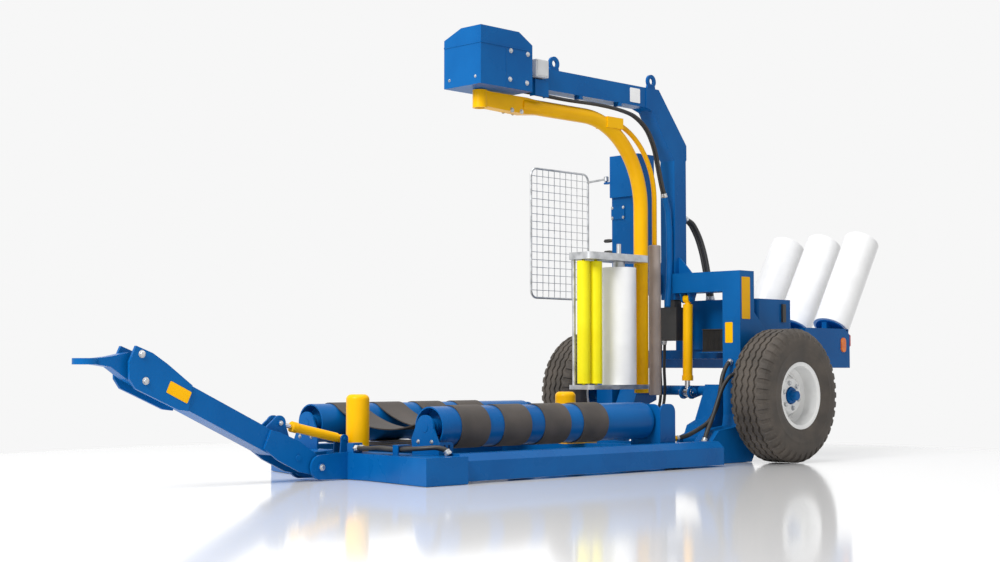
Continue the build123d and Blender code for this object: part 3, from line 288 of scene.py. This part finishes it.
# %% [markdown]
# ## Implement tyres
# An implement tyre has ribs round its crown and short lugs on its
# shoulders. The CAD tyre has plain grooves; here the cross-section is
# carried round in 480 steps, the groove columns wander sideways in a
# zigzag, and the shoulder columns sink between the lugs.

# %% Ribbed tyre
TYRE_STEPS = 480
LUGS = 40
CROWN = 0.4225
GROOVE = 0.012
ZIGZAG = 0.0062
LUG_CUT = 0.009
LUG_CUT_INWARD = 0.8
LUG_CUT_SIDEWAYS = 0.6
SMOOTH_BELOW = 0.36


def tyre_columns():
    """Columns from the outer bead over the crown: width, radius, zigzag share, lug share."""
    half = [(0.112, 0.1946, 0, 0), (0.112, 0.212, 0, 0), (0.126, 0.2125, 0, 0), (0.134, 0.240, 0, 0),
            (0.139, 0.262, 0, 0), (0.1425, 0.288, 0, 0), (0.1448, 0.293, 0, 0), (0.1448, 0.299, 0, 0),
            (0.1432, 0.304, 0, 0), (0.1446, 0.318, 0, 0), (0.1442, 0.338, 0, 0), (0.1418, 0.356, 0, 0),
            (0.1402, 0.362, 0, 0.3), (0.134, 0.383, 0, 1), (0.123, 0.400, 0, 1), (0.111, 0.410, 0, 1),
            (0.099, 0.4175, 0.3, 0.7), (0.088, 0.422, 1, 0)]
    crown = []
    for middle in (0.069, 0.023, -0.023, -0.069):
        crown += [(middle + 0.0078, CROWN, 1, 0), (middle + 0.0045, CROWN - GROOVE, 1, 0),
                  (middle - 0.0045, CROWN - GROOVE, 1, 0), (middle - 0.0078, CROWN, 1, 0)]
    return half + crown + [(-w, r, z, lug) for w, r, z, lug in reversed(half)]


def notch(phase):
    """How deep the shoulder sinks at this share of a lug's pitch."""
    return LUG_CUT if 0.3 < phase < 0.72 else 0.0


def ribbed_tyre(name, node):
    """The tyre's closed skin, which stands for the plain CAD tyre."""
    low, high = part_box(node)
    centre = (low + high) / 2
    columns = tyre_columns()
    built = bmesh.new()
    grid = []
    for k in range(TYRE_STEPS):
        angle = 2 * math.pi * k / TYRE_STEPS
        phase = (k * LUGS / TYRE_STEPS) % 1.0
        wander = ZIGZAG * (abs(2 * phase - 1) * 2 - 1)
        ring = []
        for w, r, zigzag, lug in columns:
            sunk = notch(phase if w > 0 else (phase + 0.5) % 1.0) * lug
            side = w + wander * zigzag - math.copysign(sunk * LUG_CUT_SIDEWAYS, w)
            radius = r - sunk * LUG_CUT_INWARD
            spot = Vector((radius * math.cos(angle), side, radius * math.sin(angle)))
            ring.append(built.verts.new(centre + spot))
        grid.append(ring)
    count = len(columns)
    for k in range(TYRE_STEPS):
        for j in range(count):
            here, there = grid[k - 1], grid[k]
            built.faces.new((here[j], here[(j + 1) % count], there[(j + 1) % count], there[j]))
    made = publish(name, built, TYRE, body(node))
    for face in made.data.polygons:
        middle = face.center - centre
        face.use_smooth = math.hypot(middle.x, middle.z) < SMOOTH_BELOW
    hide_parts(node)


ribbed_tyre("RibbedTyre_left", "tyre_left")
ribbed_tyre("RibbedTyre_right", "tyre_right")

# %% [markdown]
# ## Bolts by Geometry Nodes
# Dozens of bolts that differ only in size are a job for instances. A
# handful of points, each with the direction its bolt faces and its radius,
# goes in; washers with six-sided heads come out, baked to a plain mesh for
# each body. The head below is drawn with a radius of 1 and then scaled.

# %% Bolt node group
bolt_tree = bpy.data.node_groups.new("HexBolts", "GeometryNodeTree")
bolt_tree.interface.new_socket("Geometry", in_out="INPUT", socket_type="NodeSocketGeometry")
height_socket = bolt_tree.interface.new_socket("Head height", in_out="INPUT", socket_type="NodeSocketFloat")
finish_socket = bolt_tree.interface.new_socket("Finish", in_out="INPUT", socket_type="NodeSocketMaterial")
bolt_tree.interface.new_socket("Geometry", in_out="OUTPUT", socket_type="NodeSocketGeometry")


def gn(kind, **settings):
    """Add one node to the bolt tree."""
    made = bolt_tree.nodes.new(kind)
    for key, value in settings.items():
        setattr(made, key, value)
    return made


def drum(vertices, radius, top, depth, lift):
    """A cone frustum lifted so that its foot stands at the given height."""
    made = gn("GeometryNodeMeshCone")
    made.inputs["Vertices"].default_value = vertices
    made.inputs["Radius Bottom"].default_value = radius
    made.inputs["Radius Top"].default_value = top
    made.inputs["Depth"].default_value = depth
    moved = gn("GeometryNodeTransform")
    moved.inputs["Translation"].default_value = (0, 0, lift)
    bolt_tree.links.new(made.outputs["Mesh"], moved.inputs["Geometry"])
    return moved.outputs["Geometry"]


entry = gn("NodeGroupInput")
leave = gn("NodeGroupOutput")
head = gn("GeometryNodeJoinGeometry")
for part in (drum(20, 1.35, 1.3, 0.22, 0.0), drum(6, 1.0, 1.0, 0.5, 0.2), drum(6, 1.0, 0.78, 0.14, 0.7)):
    bolt_tree.links.new(part, head.inputs["Geometry"])
stretch = gn("ShaderNodeCombineXYZ")
stretch.inputs["X"].default_value = 1.0
stretch.inputs["Y"].default_value = 1.0
bolt_tree.links.new(entry.outputs["Head height"], stretch.inputs["Z"])
tall = gn("GeometryNodeTransform")
bolt_tree.links.new(head.outputs["Geometry"], tall.inputs["Geometry"])
bolt_tree.links.new(stretch.outputs["Vector"], tall.inputs["Scale"])
facing = gn("GeometryNodeInputNamedAttribute", data_type="FLOAT_VECTOR")
facing.inputs["Name"].default_value = "facing"
sized = gn("GeometryNodeInputNamedAttribute", data_type="FLOAT")
sized.inputs["Name"].default_value = "size"
aligned = gn("FunctionNodeAlignRotationToVector", axis="Z")
bolt_tree.links.new(facing.outputs["Attribute"], aligned.inputs["Vector"])
spread = gn("GeometryNodeInstanceOnPoints")
bolt_tree.links.new(entry.outputs["Geometry"], spread.inputs["Points"])
bolt_tree.links.new(tall.outputs["Geometry"], spread.inputs["Instance"])
bolt_tree.links.new(aligned.outputs["Rotation"], spread.inputs["Rotation"])
bolt_tree.links.new(sized.outputs["Attribute"], spread.inputs["Scale"])
solid = gn("GeometryNodeRealizeInstances")
coloured = gn("GeometryNodeSetMaterial")
bolt_tree.links.new(spread.outputs["Instances"], solid.inputs["Geometry"])
bolt_tree.links.new(solid.outputs["Geometry"], coloured.inputs["Geometry"])
bolt_tree.links.new(entry.outputs["Finish"], coloured.inputs["Material"])
bolt_tree.links.new(coloured.outputs["Geometry"], leave.inputs["Geometry"])


def bolts(name, places, rides, height=1.0):
    """Bake one body's bolts: places is a list of point, facing and radius."""
    mesh = bpy.data.meshes.new(name)
    mesh.from_pydata([tuple(p) for p, _, _ in places], [], [])
    mesh.attributes.new("facing", "FLOAT_VECTOR", "POINT").data.foreach_set(
        "vector", [c for _, d, _ in places for c in d])
    mesh.attributes.new("size", "FLOAT", "POINT").data.foreach_set("value", [r for _, _, r in places])
    made = bpy.data.objects.new(name, mesh)
    bpy.context.scene.collection.objects.link(made)
    scatter = made.modifiers.new("Bolts", "NODES")
    scatter.node_group = bolt_tree
    scatter[height_socket.identifier] = height
    scatter[finish_socket.identifier] = ZINC
    view_layer = bpy.context.evaluated_depsgraph_get()
    view_layer.update()
    baked = bpy.data.meshes.new_from_object(made.evaluated_get(view_layer))
    made.modifiers.clear()
    made.data = baked
    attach(made, rides)
    print(name, "bolts", len(places), "faces", len(baked.polygons))


# %% [markdown]
# ## Where the bolts go
# The housing's plates, the cabinet's hasp, the roller brackets, the arm's
# block and the drawbar's pins show bolt heads. A plate or a pin that is
# bolted through gets the same head on its other side.

# %% Bolts of the frame and arm
LEFT, RIGHT, FORWARD, BACK, UP = (0, 1, 0), (0, -1, 0), (1, 0, 0), (-1, 0, 0), (0, 0, 1)
HOUSING_BOLTS = ((1.807, 2.468), (1.663, 2.466), (1.814, 2.297), (1.671, 2.292))
HOUSING_SIDE = 0.156
HOUSING_FRONT = 2.055
HASP_FRONT = 0.061
BRACKET_BOLT_HEIGHT = 0.205
PIVOT_STATION, PIVOT_HEIGHT, PIVOT_PIN_END = 3.170, 0.070, 0.107
ARM_BOLTS = ((1.677, 2.143), (1.596, 2.142))
ARM_SIDE = 0.038
frame_bolts = []
for station, z in HOUSING_BOLTS:
    frame_bolts.append((st(station, HOUSING_SIDE, z), LEFT, 0.011))
    frame_bolts.append((st(station, -HOUSING_SIDE, z), RIGHT, 0.011))
for y in (-0.11, 0.11):
    frame_bolts.append((st(HOUSING_FRONT, y, 2.291), FORWARD, 0.007))
for y in (-0.575, -0.475):
    for z in (1.64, 1.71):
        frame_bolts.append((st(HASP_FRONT, y, z), FORWARD, 0.008))
for side in ("left", "right"):
    low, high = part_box(f"roller_bracket_{side}")
    middle = (low.y + high.y) / 2
    for y in (-0.052, 0.052):
        frame_bolts.append((Vector((high.x, middle + y, BRACKET_BOLT_HEIGHT)), FORWARD, 0.009))
        frame_bolts.append((Vector((low.x, middle + y, BRACKET_BOLT_HEIGHT)), BACK, 0.009))
for y, way in ((PIVOT_PIN_END, LEFT), (-PIVOT_PIN_END, RIGHT)):
    frame_bolts.append((st(PIVOT_STATION, y, PIVOT_HEIGHT), way, 0.0135))
bolts("FrameBolts", frame_bolts, body("boom"))

arm_bolts = []
for y, way in ((ARM_SIDE, LEFT), (-ARM_SIDE, RIGHT)):
    arm_bolts += [(st(station, y, z), way, 0.011) for station, z in ARM_BOLTS]
bolts("ArmBolts", arm_bolts, body("arm"))

# %% Bolts of the drawbar
HEAD_BOLTS = ((4.258, 0.658), (4.235, 0.528))
RAM_EYE_STATION, RAM_EYE_HEIGHT, RAM_PIN_END = 3.394, 0.306, 0.044
head_low, head_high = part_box("hitch_head")
drawbar_bolts = []
for y, way in ((head_high.y, LEFT), (head_low.y, RIGHT)):
    drawbar_bolts += [(st(station, y, z), way, 0.0145) for station, z in HEAD_BOLTS]
for y, way in ((RAM_PIN_END, LEFT), (-RAM_PIN_END, RIGHT)):
    drawbar_bolts.append((st(RAM_EYE_STATION, y, RAM_EYE_HEIGHT), way, 0.0095))
bolts("DrawbarBolts", drawbar_bolts, body("drawbar"))

# %% Wheel nuts
NUTS = 6
NUT_CIRCLE = 0.081
FIRST_NUT = 0.3
DISC_FACE = 0.8605
AXLE_HEIGHT = 0.4225
for side, word in ((1, "left"), (-1, "right")):
    studs = []
    for k in range(NUTS):
        angle = 2 * math.pi * k / NUTS + FIRST_NUT
        spot = st(NUT_CIRCLE * math.cos(angle), side * DISC_FACE, AXLE_HEIGHT + NUT_CIRCLE * math.sin(angle))
        studs.append((spot, (0, side, 0), 0.0125))
    bolts(f"WheelNuts_{word}", studs, body(f"rim_{word}"), height=1.2)

# %% [markdown]
# ## Hose fittings
# A hydraulic hose ends in a crimped ferrule and a hexagon nut. Each end of
# the ten hoses gets one, pointing along the hose as it leaves its port.

# %% One fitting
def fitting(built, foot, along, width):
    """A hexagon nut at the port, and a ferrule with three crimps round the hose."""
    r = width / 2
    lathe(built, [(r + 0.006, 0.0), (r + 0.0065, 0.001), (r + 0.0065, 0.009), (r + 0.005, 0.0105)],
          foot, along, 6)
    lathe(built, [(r + 0.0022, 0.0095), (r + 0.0032, 0.0105), (r + 0.0032, 0.014), (r + 0.0024, 0.015),
                  (r + 0.0032, 0.016), (r + 0.0032, 0.0195), (r + 0.0024, 0.0205), (r + 0.0032, 0.0215),
                  (r + 0.0032, 0.025), (r + 0.0012, 0.0262)], foot, along, 20)


# %% Fittings at both ends of each hose
BOOM_HOSE, FRONT_HOSE, REAR_HOSE, MAST_HOSE, VALVE_HOSE = 0.018, 0.024, 0.028, 0.026, 0.020
hose_ends = []
for y in (0.025, 0.045):
    hose_ends += [((1.6227, y, 2.268), (-1, 0, -0.01), BOOM_HOSE),
                  ((0.2362, y, 1.7254), (0.37, 0, 0.93), BOOM_HOSE)]
hose_ends += [((2.970, 0.1373, 0.166), (0, 1, 0), FRONT_HOSE),
              ((2.936, 0.1373, 0.166), (0, 1, 0), FRONT_HOSE),
              ((2.842, 0.724, 0.148), (0.46, -0.4, 0.79), FRONT_HOSE),
              ((2.812, 0.702, 0.148), (0.46, -0.4, 0.79), FRONT_HOSE),
              ((0.197, 0.540, 0.640), (0.89, 0, -0.45), REAR_HOSE),
              ((0.1935, 0.578, 0.560), (0.98, -0.01, -0.2), REAR_HOSE),
              ((0.763, 0.540, 0.164), (-0.99, 0.03, 0.11), REAR_HOSE),
              ((0.512, 0.565, 0.1356), (-0.35, 0.01, 0.94), REAR_HOSE)]
for y in (0, 0.032):
    hose_ends += [((0.0323, 0.010 + y, 1.600), (-0.8, 0.43, -0.43), MAST_HOSE),
                  ((-0.114, 0.124 + y, 1.052), (0.04, -0.09, 0.99), MAST_HOSE)]
for y in (0, -0.034):
    hose_ends += [((0.126, -0.060 + y, 0.7794), (0.01, -0.02, -1), VALVE_HOSE),
                  ((0.428, -0.044 + y, 0.1256), (-0.52, 0.02, 0.85), VALVE_HOSE)]
built = bmesh.new()
for spot, along, width in hose_ends:
    fitting(built, st(*spot), along, width)
publish("HoseFittings", built, ZINC, body("boom"))

# %% [markdown]
# ## Sheet-metal and control details
# The drive housing has a lid with a folded lip and a seam between its
# panels; a pale switch box hangs on the boom beside it, over a blue bracket.
# The cabinet has a hasp plate and two black handles.

# %% Housing lip and seam, box bracket and hasp
built = bmesh.new()
for side in (1, -1):
    block(built, st(1.8645, side * 0.1575, 2.489), (0.381, 0.003, 0.008), 0.001)
    block(built, st(1.850, side * 0.1568, 2.367), (0.0035, 0.0016, 0.24), 0.0005)
block(built, st(2.0565, 0, 2.489), (0.003, 0.312, 0.008), 0.001)
block(built, st(1.482, 0.078, 2.340), (0.12, 0.046, 0.006), 0.002)
block(built, st(1.482, 0.098, 2.292), (0.12, 0.006, 0.10), 0.002)
block(built, st(1.425, 0.078, 2.292), (0.006, 0.046, 0.10), 0.002)
block(built, st(1.539, 0.078, 2.292), (0.006, 0.046, 0.10), 0.002)
block(built, st(0.0575, -0.525, 1.675), (0.007, 0.122, 0.092), 0.002)
publish("HousingSheetwork", built, BLUE, body("boom"))

# %% Switch box
built = bmesh.new()
block(built, st(1.499, 0.089, 2.408), (0.112, 0.066, 0.108), 0.008)
block(built, st(1.499, 0.1235, 2.408), (0.094, 0.004, 0.09), 0.0015)
publish("SwitchBox", built, GREY, body("boom"))

# %% Cabinet handles
built = bmesh.new()
for z in (1.49, 1.41):
    knob = [(0.006, 0.0), (0.006, 0.045), (0.011, 0.05), (0.0135, 0.075), (0.0125, 0.11), (0.008, 0.118)]
    lathe(built, knob, st(0.0, -0.584, z), RIGHT, 20)
publish("CabinetHandles", built, BLACK, body("cabinet"), smooth=True)

# %% [markdown]
# ## Cooler fins
# The oil cooler is a black box whose front is a row of thin upright fins
# between two end tanks. They are plain loops of blocks, because a fin is a
# straight strip and 22 of them cost little.

# %% Fins and their end bars
FINS = 22
low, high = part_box("oil_cooler")
fin_height = high.z - low.z - 0.012
built = bmesh.new()
for k in range(FINS):
    y = low.y + 0.008 + (high.y - low.y - 0.016) * k / (FINS - 1)
    block(built, Vector((high.x + 0.003, y, (low.z + high.z) / 2)), (0.006, 0.0028, fin_height), 0.0008)
for z in (low.z + 0.004, high.z - 0.004):
    block(built, Vector((high.x + 0.004, (low.y + high.y) / 2, z)), (0.009, high.y - low.y, 0.008), 0.002)
publish("CoolerFins", built, BLACK, body("oil_cooler"))

# %% [markdown]
# ## Blank plates
# Most stickers on the machine are kept as blank plates, each in its own
# colour and place. A plate is a thin sheet with rounded corners that stands
# a hair off the paint.

# %% Plates on the boom and the left upright
built = bmesh.new()
sheet_plate(built, st(0.557, 0.0553, 2.366), BACK, UP, 0.10, 0.094)
publish("BoomPlate", built, FILM, body("boom"))
built = bmesh.new()
sheet_plate(built, st(0.128, 0.6103, 1.045), BACK, UP, 0.088, 0.27)
sheet_plate(built, st(0.1903, 0.521, 0.824), LEFT, UP, 0.06, 0.132)
publish("PostPlates", built, YELLOW, body("portal_left"))

# %% Plates on the drawbar and the mast
SLOPE = math.radians(25)
built = bmesh.new()
down_slope = (-math.cos(SLOPE), 0, -math.sin(SLOPE))
across_slope = (-math.sin(SLOPE), 0, math.cos(SLOPE))
sheet_plate(built, st(4.045, head_high.y + 0.0003, 0.472), down_slope, across_slope, 0.135, 0.062)
publish("DrawbarPlate", built, YELLOW, body("drawbar"))
built = bmesh.new()
sheet_plate(built, st(0.0403, 0.03, 1.500), LEFT, UP, 0.05, 0.05)
sheet_plate(built, st(0.0403, 0.03, 1.720), LEFT, UP, 0.05, 0.06)
publish("MastPlates", built, GREY, body("mast"))

# %% [markdown]
# ## Floor, light and camera
# A white studio suits a glossy machine. A pale floor takes the shadow: it is
# round behind the machine and runs out past the camera. The world gives
# even light, and two large soft lamps model the round forms.

# %% Floor
FLOOR_RADIUS = 4.0
FLOOR_Z = -0.002
ARC_START = 135
ARC_SPAN = 180
ARC_STEPS = 64
CORNERS_PAST_CAMERA = [(16.0, 10.0, FLOOR_Z), (10.0, 16.0, FLOOR_Z)]
floor_edge = []
for k in range(ARC_STEPS + 1):
    swing = math.radians(ARC_START + k / ARC_STEPS * ARC_SPAN)
    floor_edge.append((FLOOR_RADIUS * math.cos(swing), FLOOR_RADIUS * math.sin(swing), FLOOR_Z))
floor_edge += CORNERS_PAST_CAMERA
floor_mesh = bpy.data.meshes.new("Floor")
floor_mesh.from_pydata(floor_edge, [], [tuple(range(len(floor_edge)))])
floor = bpy.data.objects.new("Floor", floor_mesh)
bpy.context.scene.collection.objects.link(floor)
floor_paint, _, floor_shader = new_material("PaleFloor")
floor_shader.inputs["Base Color"].default_value = (0.93, 0.93, 0.935, 1)
floor_shader.inputs["Roughness"].default_value = 0.09
floor_shader.inputs["Specular IOR Level"].default_value = 0.35
floor.data.materials.append(floor_paint)
print("floor corners", len(floor_edge))

# %% Even light of the studio
world = bpy.data.worlds.new("Studio")
bpy.context.scene.world = world
world.use_nodes = True
world_tree = world.node_tree
backdrop = world_tree.nodes["Background"]
path = world_tree.nodes.new("ShaderNodeLightPath")
seen = world_tree.nodes.new("ShaderNodeMath")
seen.operation = "MAXIMUM"
world_tree.links.new(path.outputs["Is Camera Ray"], seen.inputs[0])
world_tree.links.new(path.outputs["Is Glossy Ray"], seen.inputs[1])
level = world_tree.nodes.new("ShaderNodeMapRange")
level.inputs["To Min"].default_value = 0.5
level.inputs["To Max"].default_value = 0.93
world_tree.links.new(seen.outputs[0], level.inputs["Value"])
world_tree.links.new(level.outputs["Result"], backdrop.inputs["Strength"])
backdrop.inputs["Color"].default_value = (1, 1, 1, 1)


# %% Two soft lamps
def area_lamp(name, spot, target, size, watts):
    """A square soft lamp at a spot, aimed at a target."""
    lamp = bpy.data.lights.new(name, "AREA")
    lamp.size = size
    lamp.energy = watts
    made = bpy.data.objects.new(name, lamp)
    made.location = spot
    made.rotation_euler = (Vector(target) - Vector(spot)).to_track_quat("-Z", "Y").to_euler()
    bpy.context.scene.collection.objects.link(made)


area_lamp("KeyLamp", (7.5, 1.5, 6.0), (0, 0, 0.8), 3.5, 620)
area_lamp("TopLamp", (0, 0, 7.5), (0, 0, 0), 5.0, 260)

# %% [markdown]
# ## Camera
# The camera stands off the front left corner, 0.57 m above the ground, and
# looks along 45 degrees, a little upward, with a short telephoto lens, so
# upright edges stay nearly parallel.

# %% Camera
camera_data = bpy.data.cameras.new("Camera")
LENS_MM = 58.356
UPWARD = math.radians(3.21)
camera_data.lens = LENS_MM
camera_data.sensor_width = 36.0
camera = bpy.data.objects.new("Camera", camera_data)
camera.location = st(8.565, 6.823, 0.5718)
level_share = math.cos(UPWARD) * math.sqrt(0.5)
look = Vector((-level_share, -level_share, math.sin(UPWARD)))
camera.rotation_euler = look.to_track_quat("-Z", "Y").to_euler()
bpy.context.scene.collection.objects.link(camera)
bpy.context.scene.camera = camera
bpy.context.scene.view_settings.view_transform = "Standard"
